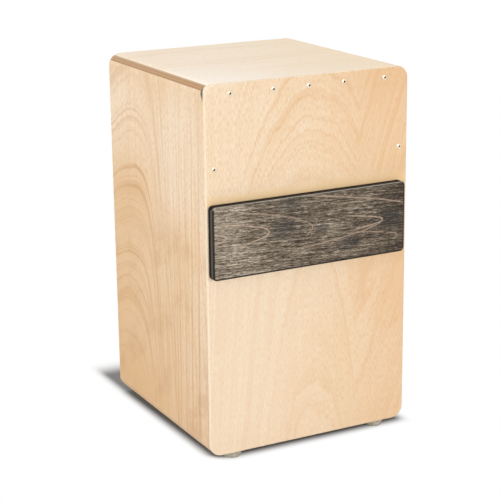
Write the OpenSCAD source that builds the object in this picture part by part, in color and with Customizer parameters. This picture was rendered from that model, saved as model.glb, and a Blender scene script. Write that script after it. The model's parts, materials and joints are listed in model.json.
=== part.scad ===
// Cajon: a plywood box drum with a struck front plate, a removable snare inside it and a removable
// rattle board on the plate. Millimetres, +Z up. The striking plate faces -Y, and the origin is on the
// floor under the middle of the whole outline.

/* [Body] */
// Width across the striking plate
body_w = 300; // [280:5:330]
// Depth from the face of the striking plate to the back
body_d = 300; // [270:5:330]
// Height of the seat above the floor
seat_h = 505; // [460:5:520]
// Thickness of the seat, base and side panels
panel_t = 9; // [9:0.5:12]
// Radius of the four long edges and of the plate's corners
edge_r = 17; // [12:1:20]
// Depth of the tongues that join the side panels to the seat and the base
tongue_h = 2.5; // [2:0.5:3]

/* [Striking plate] */
// Thickness of the striking plate
plate_t = 4; // [3:0.5:5]
// Width of the square battens behind the plate's edges
batten_w = 18; // [16:1:22]
// Distance of the upper screws below the seat
screw_drop = 13.5; // [13:0.5:16]
// Distance of the inner upper screws from the middle
screw_inner_x = 52; // [40:1:70]
// Distance of the outer upper screws from the middle
screw_outer_x = 114; // [90:1:118]
// Distance of the side screws from the plate's edge
screw_edge = 12; // [12:0.5:14]
// Distance of the side screws below the seat
side_screw_drop = 108; // [60:2:140]
// Diameter of a plate screw's head
screw_head_d = 7; // [6:0.5:8]
// Diameter of a plate screw's shank
screw_d = 3.5; // [3:0.5:4]
// Length of a plate screw below the plate's face
screw_l = 18; // [14:1:20]

/* [Back] */
// Thickness of the back panel
back_t = 5; // [4:0.5:6]
// Thickness of panel left outside the back panel's rebate
rebate_lip = 4; // [3:0.5:5]
// Diameter of the sound hole
hole_d = 115; // [90:5:130]
// Height of the sound hole's centre above the floor
hole_z = 290; // [200:5:340]

/* [Feet] */
// Diameter of a foot
foot_d = 26; // [18:1:28]
// Height of a foot
foot_h = 9; // [8:0.5:14]
// Distance of a foot's centre from the side of the body
foot_inset_x = 39; // [24:1:60]
// Distance of a foot's centre from the front or back of the body
foot_inset_y = 15; // [15:1:40]

/* [Snare] */
// Distance of the middle of the snare bar below the seat
bar_drop = 138; // [136:2:170]
// Height of the snare bar
bar_h = 26; // [24:1:32]
// Thickness of the snare bar
bar_t = 14; // [12:1:18]
// Distance of each set of wires from the middle
snare_x = 58; // [45:1:75]
// Number of wires in each set
snare_count = 10; // [6:1:10]
// Length of the wires
snare_l = 98; // [80:2:98]
// Diameter of a wire's coil
snare_d = 2.2; // [1.8:0.1:2.4]

/* [Rattle board] */
// Width of the rattle board
board_w = 288; // [240:2:290]
// Height of the rattle board
board_h = 97; // [80:1:120]
// Thickness of the stained board
board_t = 6; // [4:0.5:8]
// Thickness of the black backing, from the striking plate to the stained board
backing_t = 6; // [4.5:0.5:8]
// Radius of the board's corners
board_r = 6; // [4:0.5:10]
// Height of the board's middle above the floor
board_z = 303; // [240:0.5:340]
// Distance of the board's middle to the right of the plate's middle
board_x = -3.5; // [-5:0.5:5]

/* [Hook and loop] */
// Thickness of the hook tape, and of the loop tape
tape_t = 1.2; // [1:0.1:1.5]

/* [Hidden] */
$fn = 64;

board_proud = board_t + backing_t;
front_y = (board_proud - body_d) / 2;
back_y = front_y + body_d;
shell_y = front_y + plate_t;
body_h = seat_h - foot_h;
inner_x = body_w / 2 - panel_t;
inner_top = seat_h - panel_t;
inner_low = foot_h + panel_t;
tongue_share = 0.35;
tongue_w = panel_t * tongue_share;
batten_y = shell_y + batten_w;
fit_gap = 0.1;
overcut = 1;
fuse = 0.1;

head_rise = 1.2;
head_sink = 2;
tip_l = 4;
drive_d = 4;
drive_depth = 2.2;
screw_places = [
    for (x = [-screw_outer_x, -screw_inner_x, 0, screw_inner_x, screw_outer_x]) [x, seat_h - screw_drop],
    for (side = [-1, 1]) [side * (body_w / 2 - screw_edge), seat_h - side_screw_drop]
];

foot_x = body_w / 2 - foot_inset_x;
foot_front_y = front_y + foot_inset_y;
foot_rear_y = back_y - foot_inset_y;
foot_bore_d = 10;
foot_web = 2.5;
foot_bore_h = foot_h - foot_web;
foot_edge = 1;
washer_d = 9;
washer_t = 0.8;
foot_screw_d = 4;
foot_screw_head_d = 7;
foot_screw_head_h = 1.6;
foot_screw_drive_h = 1;
foot_screw_cover = 2;
foot_screw_tip_z = inner_low - foot_screw_cover;

bar_z = seat_h - bar_drop;
bar_y = batten_y + 2 * tape_t;
bar_end_gap = 3;
bar_half_l = inner_x - bar_end_gap;
wedge_t = 3.8;
strip_t = 1.2;
strip_h = 16;
strip_end = 7;
wire_pitch = 4;
wire_span = (snare_count - 1) * wire_pitch;
wire_inset = 2;
wire_low = wire_inset - strip_h / 2;
strip_w = wire_span + snare_d + 2 * strip_end;
solder = 0.15;
tip_gap = 0.5;
snare_reach = bar_y - wedge_t - strip_t - snare_d - tip_gap - shell_y;
snare_tilt = asin(snare_reach / snare_l);
strip_screw_x = (strip_w - strip_end) / 2;
strip_screw_d = 2.4;
strip_screw_head_d = 4.6;
strip_screw_head_h = 1.4;
strip_screw_l = 12;
bar_tape_x = inner_x - batten_w / 2;
bar_tape_w = 14;

board_y = front_y - backing_t;
pocket_y = front_y - 2 * tape_t;
rim_w = 3;
rim_gap = 0.2;
board_tape_w = 36;
board_tape_h = 22;
board_tape_margin = 8;
board_tape_x = (board_w - board_tape_w) / 2 - board_tape_margin;
board_tape_z = (board_h - board_tape_h) / 2 - board_tape_margin;
rattle_count = 6;
rattle_pitch = 4;
rattle_d = 1.4;
rattle_l = 170;
rattle_span = (rattle_count - 1) * rattle_pitch;
clip_w = 9;
clip_t = 0.8;
clip_end = 3;
clip_h = rattle_span + rattle_d + 2 * clip_end;

beech = "#f1d8b4";
beech_pale = "#f5e3cc";
batten_wood = "#e2bf91";
stain = "#625a50";
black = "#1d1b19";
steel = "#c9ccd0";
rubber = "#d0c9bc";

// A box between two corners
module block(low, high) {
    translate(low) cube(high - low);
}

// An upright rectangle with round corners, standing on y = 0
module round_rect(w, h, r) {
    translate([-w / 2 + r, 0]) square([w - 2 * r, h]);
    translate([-w / 2, r]) square([w, h - 2 * r]);
    for (x = [r - w / 2, w / 2 - r], y = [r, h - r]) translate([x, y]) circle(r);
}

// An upright board with round corners: its face at y, its lower edge at z
module round_board(w, h, r, t, y, z) {
    translate([0, y + t, z]) rotate([90, 0, 0]) linear_extrude(t) round_rect(w, h, r);
}

// The space inside the rounded outline, from the plate to the back
module shell_form() {
    round_board(body_w, body_h, edge_r, back_y - shell_y, shell_y, foot_h);
}

// The back panel's outline, which is also the rebate cut for it
module back_form() {
    lip = rebate_lip;
    round_board(body_w - 2 * lip, body_h - 2 * lip, edge_r - lip, back_t, back_y - back_t, foot_h + lip);
}

// The two tongues on the ends of a side panel
module tongues(side) {
    low_x = side < 0 ? -inner_x - tongue_w : inner_x;
    for (z = [inner_low - tongue_h, inner_top])
        block([low_x, shell_y, z], [low_x + tongue_w, back_y, z + tongue_h]);
}

// Turns what stands on z = 0 so that it points along +Y
module along_y() {
    rotate([-90, 0, 0]) children();
}

// A raised countersunk wood screw, or with room added the hole that it needs
module plate_screw_form(room = 0) {
    head_r = screw_head_d / 2 + room;
    shank_r = screw_d / 2 + room;
    dome_r = (head_r * head_r + head_rise * head_rise) / (2 * head_rise);
    dome_steps = 6;
    dome = [
        for (i = [0:dome_steps])
            let (a = asin(head_r / dome_r) * i / dome_steps)
            [dome_r * sin(a), dome_r - head_rise - dome_r * cos(a)]
    ];
    rotate_extrude() polygon(concat(dome, [
        [shank_r, head_sink],
        [shank_r, screw_l - tip_l],
        [0, screw_l + room]
    ]));
}

module plate_screw() {
    along_y() difference() {
        plate_screw_form();
        translate([0, 0, -head_rise - overcut]) cylinder(d = drive_d, h = drive_depth + overcut, $fn = 6);
    }
}

module plate_screw_holes() {
    for (p = screw_places) translate([p[0], front_y, p[1]]) along_y() plate_screw_form(fit_gap);
}

module at_feet() {
    for (x = [-foot_x, foot_x], y = [foot_front_y, foot_rear_y]) translate([x, y, 0]) children();
}

module foot(x, y) {
    r = foot_d / 2;
    bore_r = foot_bore_d / 2;
    hole_r = foot_screw_d / 2 + fit_gap;
    translate([x, y, 0]) rotate_extrude() polygon([
        [bore_r, 0],
        [r - 2 * foot_edge, 0],
        [r - foot_edge, foot_edge],
        [r, foot_h],
        [hole_r, foot_h],
        [hole_r, foot_bore_h],
        [bore_r, foot_bore_h]
    ]);
}

// The frame of one set of wires: +Z runs up the wires, and -Y points at the plate
module snare_frame(side) {
    translate([side * snare_x, bar_y - wedge_t, bar_z]) rotate([snare_tilt, 0, 0]) children();
}

module strip_screw_holes(side) {
    snare_frame(side)
        for (x = [-strip_screw_x, strip_screw_x])
            translate([x, -strip_t - overcut, 0])
            along_y()
            cylinder(d = strip_screw_d + 2 * fit_gap, h = strip_screw_l + 2 * overcut);
}

module snare_wedge(side) {
    lean = tan(snare_tilt) * bar_h / 2;
    difference() {
        translate([side * snare_x - strip_w / 2, 0, bar_z])
            rotate([90, 0, 90])
            linear_extrude(strip_w)
            polygon([
                [bar_y, -bar_h / 2],
                [bar_y, bar_h / 2],
                [bar_y - wedge_t - lean, bar_h / 2],
                [bar_y - wedge_t + lean, -bar_h / 2]
            ]);
        strip_screw_holes(side);
    }
}

module snare_strip(side) {
    difference() {
        snare_frame(side) block([-strip_w / 2, -strip_t, -strip_h / 2], [strip_w / 2, 0, strip_h / 2]);
        strip_screw_holes(side);
    }
}

module snare_wires(side) {
    snare_frame(side)
        for (i = [0:snare_count - 1])
            translate([i * wire_pitch - wire_span / 2, solder - strip_t - snare_d / 2, wire_low])
            cylinder(d = snare_d, h = snare_l - wire_low);
}

// Two pieces of tape on the bar's ends, from y to y + tape_t
module bar_tapes(y) {
    for (side = [-1, 1])
        translate([side * bar_tape_x, y, bar_z])
        block([-bar_tape_w / 2, 0, -bar_h / 2], [bar_tape_w / 2, tape_t, bar_h / 2]);
}

// Four pieces of tape at the rattle board's corners, from y to y + tape_t
module board_tapes(y) {
    for (sx = [-1, 1], sz = [-1, 1])
        translate([board_x + sx * board_tape_x, y, board_z + sz * board_tape_z])
        block([-board_tape_w / 2, 0, -board_tape_h / 2], [board_tape_w / 2, tape_t, board_tape_h / 2]);
}

module seat_panel() {
    color(beech_pale) difference() {
        intersection() {
            shell_form();
            block([-body_w, shell_y, inner_top], [body_w, back_y, seat_h]);
        }
        tongues(-1);
        tongues(1);
        back_form();
    }
}

module base_panel() {
    color(beech) difference() {
        intersection() {
            shell_form();
            block([-body_w, shell_y, foot_h], [body_w, back_y, inner_low]);
        }
        tongues(-1);
        tongues(1);
        back_form();
        at_feet() cylinder(d = foot_screw_d + 2 * fit_gap, h = foot_screw_tip_z + overcut);
    }
}

module side_panel(side) {
    low_x = side < 0 ? -body_w / 2 : inner_x;
    color(beech) difference() {
        union() {
            intersection() {
                shell_form();
                block([low_x, shell_y, inner_low], [low_x + panel_t, back_y, inner_top]);
            }
            tongues(side);
        }
        back_form();
    }
}

module left_side_panel() {
    side_panel(-1);
}

module right_side_panel() {
    side_panel(1);
}

module back_panel() {
    color(beech) difference() {
        back_form();
        translate([0, back_y - back_t - overcut, hole_z])
            along_y()
            cylinder(d = hole_d, h = back_t + 2 * overcut);
    }
}

module striking_plate() {
    color(beech) difference() {
        round_board(body_w, body_h, edge_r, plate_t, front_y, foot_h);
        plate_screw_holes();
    }
}

module plate_screws() {
    color(steel) for (p = screw_places) translate([p[0], front_y, p[1]]) plate_screw();
}

module upper_batten() {
    color(batten_wood) difference() {
        block([-inner_x, shell_y, inner_top - batten_w], [inner_x, batten_y, inner_top]);
        plate_screw_holes();
    }
}

module lower_batten() {
    color(batten_wood) block([-inner_x, shell_y, inner_low], [inner_x, batten_y, inner_low + batten_w]);
}

module side_batten(side) {
    low_x = side < 0 ? -inner_x : inner_x - batten_w;
    color(batten_wood) difference() {
        block([low_x, shell_y, inner_low + batten_w], [low_x + batten_w, batten_y, inner_top - batten_w]);
        plate_screw_holes();
    }
}

module left_batten() {
    side_batten(-1);
}

module right_batten() {
    side_batten(1);
}

module front_left_foot() {
    color(rubber) foot(-foot_x, foot_front_y);
}

module front_right_foot() {
    color(rubber) foot(foot_x, foot_front_y);
}

module rear_left_foot() {
    color(rubber) foot(-foot_x, foot_rear_y);
}

module rear_right_foot() {
    color(rubber) foot(foot_x, foot_rear_y);
}

module foot_washers() {
    color(steel) at_feet() translate([0, 0, foot_bore_h - washer_t]) difference() {
        cylinder(d = washer_d, h = washer_t);
        translate([0, 0, -overcut]) cylinder(d = foot_screw_d + 2 * fit_gap, h = washer_t + 2 * overcut);
    }
}

module foot_screws() {
    head_top = foot_bore_h - washer_t;
    head_low = head_top - foot_screw_head_h;
    shank_low = head_top - fuse;
    color(steel) at_feet() difference() {
        union() {
            translate([0, 0, head_low]) cylinder(d = foot_screw_head_d, h = foot_screw_head_h);
            translate([0, 0, shank_low]) cylinder(d = foot_screw_d, h = foot_screw_tip_z - shank_low);
        }
        translate([0, 0, head_low - overcut])
            cylinder(d = drive_d, h = overcut + foot_screw_drive_h, $fn = 6);
    }
}

module snare_bar() {
    color(batten_wood) difference() {
        block([-bar_half_l, bar_y, bar_z - bar_h / 2], [bar_half_l, bar_y + bar_t, bar_z + bar_h / 2]);
        strip_screw_holes(-1);
        strip_screw_holes(1);
    }
}

module left_snare_wedge() {
    color(batten_wood) snare_wedge(-1);
}

module right_snare_wedge() {
    color(batten_wood) snare_wedge(1);
}

module left_snare_strip() {
    color(steel) snare_strip(-1);
}

module right_snare_strip() {
    color(steel) snare_strip(1);
}

module left_snare_wires() {
    color(steel) snare_wires(-1);
}

module right_snare_wires() {
    color(steel) snare_wires(1);
}

module snare_screws() {
    color(steel)
        for (side = [-1, 1])
            snare_frame(side)
            for (x = [-strip_screw_x, strip_screw_x])
                translate([x, -strip_t, 0])
                along_y() {
                    translate([0, 0, -strip_screw_head_h])
                        cylinder(d = strip_screw_head_d, h = strip_screw_head_h);
                    translate([0, 0, -fuse]) cylinder(d = strip_screw_d, h = strip_screw_l + fuse);
                }
}

module snare_hook_tape() {
    color(black) bar_tapes(bar_y - tape_t);
}

module snare_loop_tape() {
    color(black) bar_tapes(batten_y);
}

module rattle_board() {
    color(stain) translate([board_x, 0, 0])
        round_board(board_w, board_h, board_r, board_t, board_y - board_t, board_z - board_h / 2);
}

// A shallow tray, whose rim hides the tape and the wires
module rattle_backing() {
    low_z = board_z - board_h / 2;
    pocket_w = board_w - 2 * rim_w;
    pocket_h = board_h - 2 * rim_w;
    color(black) translate([board_x, 0, 0]) difference() {
        round_board(board_w, board_h, board_r, backing_t - rim_gap, board_y, low_z);
        round_board(pocket_w, pocket_h, board_r - rim_w, 2 * tape_t, pocket_y, low_z + rim_w);
    }
}

module rattle_clips() {
    color(steel)
        for (side = [-1, 1])
            translate([board_x + side * (rattle_l - clip_w) / 2, pocket_y, board_z])
            block([-clip_w / 2, 0, -clip_h / 2], [clip_w / 2, clip_t, clip_h / 2]);
}

module rattle_wires() {
    wire_y = pocket_y + clip_t + rattle_d / 2 - solder;
    color(steel)
        for (i = [0:rattle_count - 1])
            translate([board_x - rattle_l / 2, wire_y, board_z - rattle_span / 2 + i * rattle_pitch])
            rotate([0, 90, 0]) cylinder(d = rattle_d, h = rattle_l);
}

module rattle_hook_tape() {
    color(black) board_tapes(pocket_y);
}

module rattle_loop_tape() {
    color(black) board_tapes(front_y - tape_t);
}

seat_panel();
base_panel();
left_side_panel();
right_side_panel();
back_panel();
striking_plate();
plate_screws();
upper_batten();
lower_batten();
left_batten();
right_batten();
front_left_foot();
front_right_foot();
rear_left_foot();
rear_right_foot();
foot_washers();
foot_screws();
snare_bar();
left_snare_wedge();
right_snare_wedge();
left_snare_strip();
right_snare_strip();
left_snare_wires();
right_snare_wires();
snare_screws();
snare_hook_tape();
snare_loop_tape();
rattle_board();
rattle_backing();
rattle_clips();
rattle_wires();
rattle_hook_tape();
rattle_loop_tape();
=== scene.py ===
import json
import math

import bmesh
import bpy
import numpy as np
from mathutils import Matrix, Vector

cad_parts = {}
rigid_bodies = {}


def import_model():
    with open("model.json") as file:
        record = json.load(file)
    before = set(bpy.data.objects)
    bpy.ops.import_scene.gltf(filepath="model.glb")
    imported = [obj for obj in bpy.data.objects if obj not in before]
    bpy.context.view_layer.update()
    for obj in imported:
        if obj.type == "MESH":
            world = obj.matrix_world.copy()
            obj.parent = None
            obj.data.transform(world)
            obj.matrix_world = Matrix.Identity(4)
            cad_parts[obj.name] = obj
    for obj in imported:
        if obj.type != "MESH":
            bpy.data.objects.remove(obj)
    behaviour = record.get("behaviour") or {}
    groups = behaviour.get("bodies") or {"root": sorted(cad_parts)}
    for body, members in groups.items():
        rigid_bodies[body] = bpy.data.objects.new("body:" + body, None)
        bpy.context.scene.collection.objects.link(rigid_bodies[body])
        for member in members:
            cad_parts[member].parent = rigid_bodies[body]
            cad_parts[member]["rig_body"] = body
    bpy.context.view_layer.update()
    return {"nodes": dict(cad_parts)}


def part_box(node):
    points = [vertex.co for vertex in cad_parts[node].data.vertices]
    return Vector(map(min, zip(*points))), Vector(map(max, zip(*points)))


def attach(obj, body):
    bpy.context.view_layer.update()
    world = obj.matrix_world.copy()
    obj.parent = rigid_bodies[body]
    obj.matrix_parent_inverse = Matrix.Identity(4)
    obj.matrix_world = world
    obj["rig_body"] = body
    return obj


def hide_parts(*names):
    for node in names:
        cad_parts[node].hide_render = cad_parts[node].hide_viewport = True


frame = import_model()

MM = 0.001
NODES = frame["nodes"]

# The photograph's camera, fitted to the outline of the body. The photograph's side and the focal length
# are in pixels, the sensor in millimetres, the place in metres and the angles in degrees
PHOTO_SIDE = 500
FOCAL_PIXELS = 1541.6
SENSOR = 36.0
CAMERA_PLACE = (-0.9767, -1.8317, 0.8324)
CAMERA_AZIMUTH = -27.76
CAMERA_ELEVATION = 16.0
CAMERA_ROLL = -0.65

# Soft lights: their places and sizes in metres, and their power in watts
LIGHT_TARGET = (0.0, 0.0, 0.25)
SOFTBOXES = {
    "key": {"place": (0.3, -2.8, 0.55), "size": 1.5, "watts": 35},
    "overhead": {"place": (0.0, 0.2, 2.6), "size": 1.5, "watts": 24},
    "side_fill": {"place": (-2.6, -0.3, 0.9), "size": 1.6, "watts": 35},
}
WORLD_LIGHT = 0.35

# The floor: half its width in metres, its grey for bounced light, and how dark its shadow is
FLOOR_HALF = 4.0
FLOOR_GREY = 0.85
SHADOW_DEPTH = 0.7
# How far out from each side of the body the shadow starts to fade, and where it ends, in millimetres
SHADOW_FADES = {
    "left": (-15, 6),
    "right": (-2, 23),
    "front": (-19, 9),
    "back": (72, 142),
    "corner": (-42, -18),
}
# The shadow's left edge: how far out it lies at the back, the y from where it draws in towards the front,
# and by how much it draws in for each millimetre
SHADOW_LEFT_OUT = 1.6
SHADOW_LEAN_FROM = 130
SHADOW_LEAN = 0.02

# How widely the arrises of each kind of piece are rounded, in millimetres
ARRIS = {
    "panel": 0.8,
    "back": 0.6,
    "batten": 0.7,
    "foot": 0.5,
    "foot_washer": 0.12,
    "foot_screw": 0.2,
    "wedge": 0.3,
    "strip": 0.2,
    "snare_screw": 0.25,
    "backing": 0.3,
    "clip": 0.15,
}

# The plate and the rattle board: the radii of their corners and front arrises, in millimetres
PLATE_CORNER_R = 17.0
PLATE_ARRIS_R = 1.8
BOARD_CORNER_R = 6.0
BOARD_ARRIS_R = 1.7
# The plate's upper left corner is squarer at the back, and its screws have some room in their holes
PLATE_SQUARE_R = 10.0
SCREW_ROOM = 0.1

# The coiled wires: their thickness, and their rise in one turn, in millimetres
SNARE_WIRE_D = 0.5
SNARE_PITCH = 0.95
RATTLE_WIRE_D = 0.35
RATTLE_PITCH = 0.75

# The tape, in millimetres: the distance between tufts of its pile, and the radius of its corners
TUFT_GAP = 0.7
TAPE_CORNER_R = 1.5

# Each veneer's colours: its pale wood, its warm wood, its ring lines and its flecks
SEAT_COLOURS = ("f9ead5", "f4dec1", "edd0ab", "e2c19a")
SIDE_COLOURS = ("f7e8d2", "e8c69a", "bd8857", "cfa16c")
PLATE_COLOURS = ("fbe6ca", "f7d9b2", "e7b880", "e3b682")
BACK_COLOURS = ("f6dfc2", "f0cfa6", "ddb483", "d3a672")
BASE_COLOURS = ("f3dbba", "ebca9f", "d8ae7d", "cfa16c")

# Each metal's colours, from dark to light
PLATE_ZINC = ("e6d3b2", "fff4de")
FOOT_ZINC = ("8d8678", "cfc6b6")
SNARE_ZINC = ("8f8f8d", "c4c3c0")
BRASS = ("a67f3c", "d3ac62")
STEEL = ("8d8f92", "c9cbce")

# Plies from the outer face inwards, as (depth in millimetres, colour)
PANEL_PLIES = [
    (0.0, "f0dcc0"), (2.3, "96724b"), (2.8, "c6a277"), (3.4, "c09a6f"),
    (4.2, "a27a50"), (5.4, "b28a5c"), (6.4, "b98f62"), (7.4, "ae8355"),
    (8.3, "a2774b"), (8.75, "8b643c"), (9.0, "e6cba6"),
]
THIN_PLIES = [
    (0.0, "f6e6cf"), (1.2, "f5e3c9"), (1.6, "f0d8b8"), (2.5, "f1dabb"),
    (2.9, "f4e2c8"), (4.0, "f2dec2"),
]
BACK_PLIES = [
    (0.0, "f0dcc0"), (1.3, "d9b183"), (2.0, "c4976a"), (3.0, "cda276"),
    (3.7, "dcb78c"), (5.0, "e8cfac"),
]

# Dark clouds on the stained board, in millimetres, as (x, z, width, height)
CLOUDS = (
    (-46, 312, 24, 16),
    (116, 303, 28, 18),
    (12, 304, 12, 8),
    (52, 278, 20, 10),
    (-36, 341, 22, 10),
)
# Pale loops on the stained board, in millimetres, as (x and z of the nose, bend, length of the upper leg,
# length of the lower leg, strength)
LOOPS = (
    (-128, 309, 0.5, 14, 14, 1.0),
    (-63, 309, 0.27, 75, 35, 0.9),
    (-3, 307, 0.12, 130, 8, 0.6),
    (103, 303, 0.5, 60, 50, 0.9),
    (103, 303, 0.186, 0, 150, 0.6),
    (128, 279, 0.6, 75, 0, 0.6),
    (172, 305, 0.12, 220, 0, 0.7),
)

# Points nearer than WELD, in metres, are one point. The angles tell flat, sharp and smooth edges apart
WELD = 0.000002
FLAT_ANGLE = math.radians(0.4)
ARRIS_ANGLE = math.radians(38)
SMOOTH_ANGLE = math.radians(32)


def rgb(code):
    """A linear colour from six hexadecimal digits."""
    parts = [int(code[i:i + 2], 16) / 255 for i in (0, 2, 4)]
    return (*[p / 12.92 if p <= 0.04045 else ((p + 0.055) / 1.055) ** 2.4 for p in parts], 1.0)


def box_mm(node):
    """The lowest and highest corner of a CAD node, in millimetres."""
    low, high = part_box(node)
    return low / MM, high / MM


# Shader graphs


class Value:
    """What a shader node gives, with Python's own arithmetic."""

    def __init__(self, graph, socket):
        self.graph = graph
        self.socket = socket

    def __add__(self, other):
        return self.graph.math("ADD", self, other)

    def __sub__(self, other):
        return self.graph.math("SUBTRACT", self, other)

    def __rsub__(self, other):
        return self.graph.math("SUBTRACT", other, self)

    def __mul__(self, other):
        return self.graph.math("MULTIPLY", self, other)

    def __truediv__(self, other):
        return self.graph.math("DIVIDE", self, other)

    __radd__ = __add__
    __rmul__ = __mul__


class Graph:
    """The node tree of one material, called g below.

    Its x, y and z are the place on the part, in millimetres.
    """

    def __init__(self, name):
        self.material = bpy.data.materials.new(name)
        self.material.use_nodes = True
        self.tree = self.material.node_tree
        self.shader = self.tree.nodes["Principled BSDF"]
        place = self.add("TexCoord")
        self.x, self.y, self.z = [axis * (1 / MM) for axis in self.split(place.outputs["Object"])]
        self.normal = place.outputs["Normal"]

    def add(self, kind, **settings):
        """A new shader node of a kind."""
        made = self.tree.nodes.new("ShaderNode" + kind)
        for name, value in settings.items():
            setattr(made, name, value)
        return made

    def feed(self, socket, value):
        """Links a value to a socket, or sets a plain number or colour on it."""
        if isinstance(value, Value):
            self.tree.links.new(value.socket, socket)
        else:
            socket.default_value = value

    def split(self, socket):
        """The three parts of a vector."""
        made = self.add("SeparateXYZ")
        self.tree.links.new(socket, made.inputs[0])
        return [Value(self, axis) for axis in made.outputs]

    def math(self, operation, *values):
        """The result of one of the Math node's operations."""
        made = self.add("Math", operation=operation)
        for socket, value in zip(made.inputs, values):
            self.feed(socket, value)
        return Value(self, made.outputs[0])

    def noise(self, a, b, c, detail=2.0, roughness=0.5):
        """Smooth noise from 0 to 1 at the place (a, b, c). A plain number for c picks another pattern."""
        place = self.add("CombineXYZ")
        for socket, value in zip(place.inputs, (a, b, c)):
            self.feed(socket, value)
        made = self.add("TexNoise")
        made.inputs["Scale"].default_value = 1.0
        made.inputs["Detail"].default_value = detail
        made.inputs["Roughness"].default_value = roughness
        self.tree.links.new(place.outputs[0], made.inputs["Vector"])
        return Value(self, made.outputs[0])

    def step(self, value, low, high):
        """0 at low and 1 at high, with a soft change between them. Low may be the greater one."""
        made = self.add("MapRange", interpolation_type="SMOOTHSTEP")
        self.feed(made.inputs["Value"], value)
        made.inputs["From Min"].default_value = low
        made.inputs["From Max"].default_value = high
        return Value(self, made.outputs[0])

    def ramp(self, value, stops):
        """A colour between stops of (place, colour)."""
        made = self.add("ValToRGB")
        points = made.color_ramp.elements
        while len(points) < len(stops):
            points.new(1.0)
        for point, (place, colour) in zip(points, stops):
            point.position = place
            point.color = colour
        self.feed(made.inputs[0], value)
        return Value(self, made.outputs[0])

    def mix(self, share, first, second):
        """The first colour where share is 0, and the second where it is 1."""
        made = self.add("Mix", data_type="RGBA")
        self.feed(made.inputs[0], share)
        self.feed(made.inputs[6], first)
        self.feed(made.inputs[7], second)
        return Value(self, made.outputs[2])

    def finish(self, colour, roughness, relief, depth):
        """Sets the surface: its colour, its roughness and a relief of so many millimetres."""
        self.feed(self.shader.inputs["Base Color"], colour)
        self.feed(self.shader.inputs["Roughness"], roughness)
        bump = self.add("Bump")
        bump.inputs["Distance"].default_value = depth * MM
        self.feed(bump.inputs["Height"], relief)
        self.tree.links.new(bump.outputs[0], self.shader.inputs["Normal"])
        return self.material


# Materials


def fibre(g, across, along, seed):
    """The long streaks and the short flecks of grain that runs along one axis, each from 0 to 1."""
    streak = g.noise(across * 0.16, along * 0.005, seed, detail=4.0, roughness=0.6)
    fleck = g.noise(across * 0.85, along * 0.14, seed)
    return g.step(streak, 0.3, 0.7), g.step(fleck, 0.4, 0.7)


def ring_lines(g, field, spacing, crisp=0.0):
    """Growth rings of uneven width: 1 on a line of late wood, and 0 on the pale wood between lines."""
    rings = g.noise(field / spacing, 0.5, 0.5, detail=3.0, roughness=0.65)
    return g.step(rings, 0.45 + crisp, 0.72 - crisp)


def wide_bands(g, field, spacing, seed):
    """Soft bands, each as wide as a few rings: 1 on a band, and 0 between bands."""
    return g.step(g.noise(field / spacing, seed, 0.5, detail=1.0), 0.38, 0.62)


def veneer_face(g, across, along, rings, colours, seed):
    """A veneer's colour and relief from its fibre and its growth rings."""
    pale, warm, line, dark = [rgb(code) for code in colours]
    streak, fleck = fibre(g, across, along, seed)
    drift = g.noise(across * 0.008, along * 0.005, seed + 5.0)
    colour = g.mix(streak * 0.5 + g.step(drift, 0.35, 0.7) * 0.4, pale, warm)
    colour = g.mix(rings, colour, line)
    return g.mix(fleck * 0.5, colour, dark), streak * 0.5 - fleck * 0.5


def plywood(g, face, depth, plies, core_from, core_to):
    """The face's colour outside, and the core's plies between two depths below the face."""
    soft = 0.12
    thickness = plies[-1][0]
    layers = g.ramp(depth / thickness, [(place / thickness, rgb(code)) for place, code in plies])
    grit = g.noise(g.x * 0.7, g.y * 0.7, g.z * 0.7, detail=3.0)
    layers = g.mix(g.step(grit, 0.45, 0.75) * 0.35, layers, rgb("8f6238"))
    inside = g.step(depth, core_from - soft, core_from + soft)
    inside = inside - g.step(depth, core_to - soft, core_to + soft)
    return g.mix(inside, face, layers)


def painted_gap_shade(g, colour):
    """Painted shade: darkens a panel's front edge at the upper left corner, in the gap behind the plate.
    """
    low, high = box_mm("seat_panel")
    reach = g.step(g.z, high.z - 20, high.z - 9) * 5.5 + 2.5
    at_front = g.step(g.y - low.y - reach, 2.0, -1.0)
    at_corner = g.step(g.x, low.x + 14, low.x + 9) * g.step(g.z, high.z - 24, high.z - 15)
    below_face = g.step(g.z, high.z - 4, high.z - 9)
    return g.mix(at_front * at_corner * below_face * 0.9, colour, rgb("3a2a1c"))


def lacquered(g, colour, relief):
    """Satin lacquer, a little duller on the open grain."""
    return g.finish(colour, 0.46 - relief * 0.1, relief, depth=0.05)


def seat_material():
    """Pale veneer whose grain runs from side to side, warmer on the right and palest at the front left."""
    g = Graph("seat_veneer")
    top = box_mm("seat_panel")[1].z
    wave = g.noise(g.x * 0.006, g.y * 0.02, 4.0) * 60
    rings = ring_lines(g, g.y + wave, spacing=16.0) * 0.75
    face, relief = veneer_face(g, g.y, g.x, rings, SEAT_COLOURS, seed=11.0)
    on_right = g.step(g.x, -60, 150)
    face = g.mix(on_right * 0.45, face, rgb("f1d6a9"))
    front_left = g.step(g.x, 60, -150) * g.step(g.y, 100, -150)
    face = g.mix(front_left * 0.7, face, rgb("fff6ea"))
    colour = plywood(g, face, top - g.z, PANEL_PLIES, core_from=2.4, core_to=8.9)
    # Painted shade in the gap behind the plate's upper left corner
    return lacquered(g, painted_gap_shade(g, colour), relief)


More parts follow.
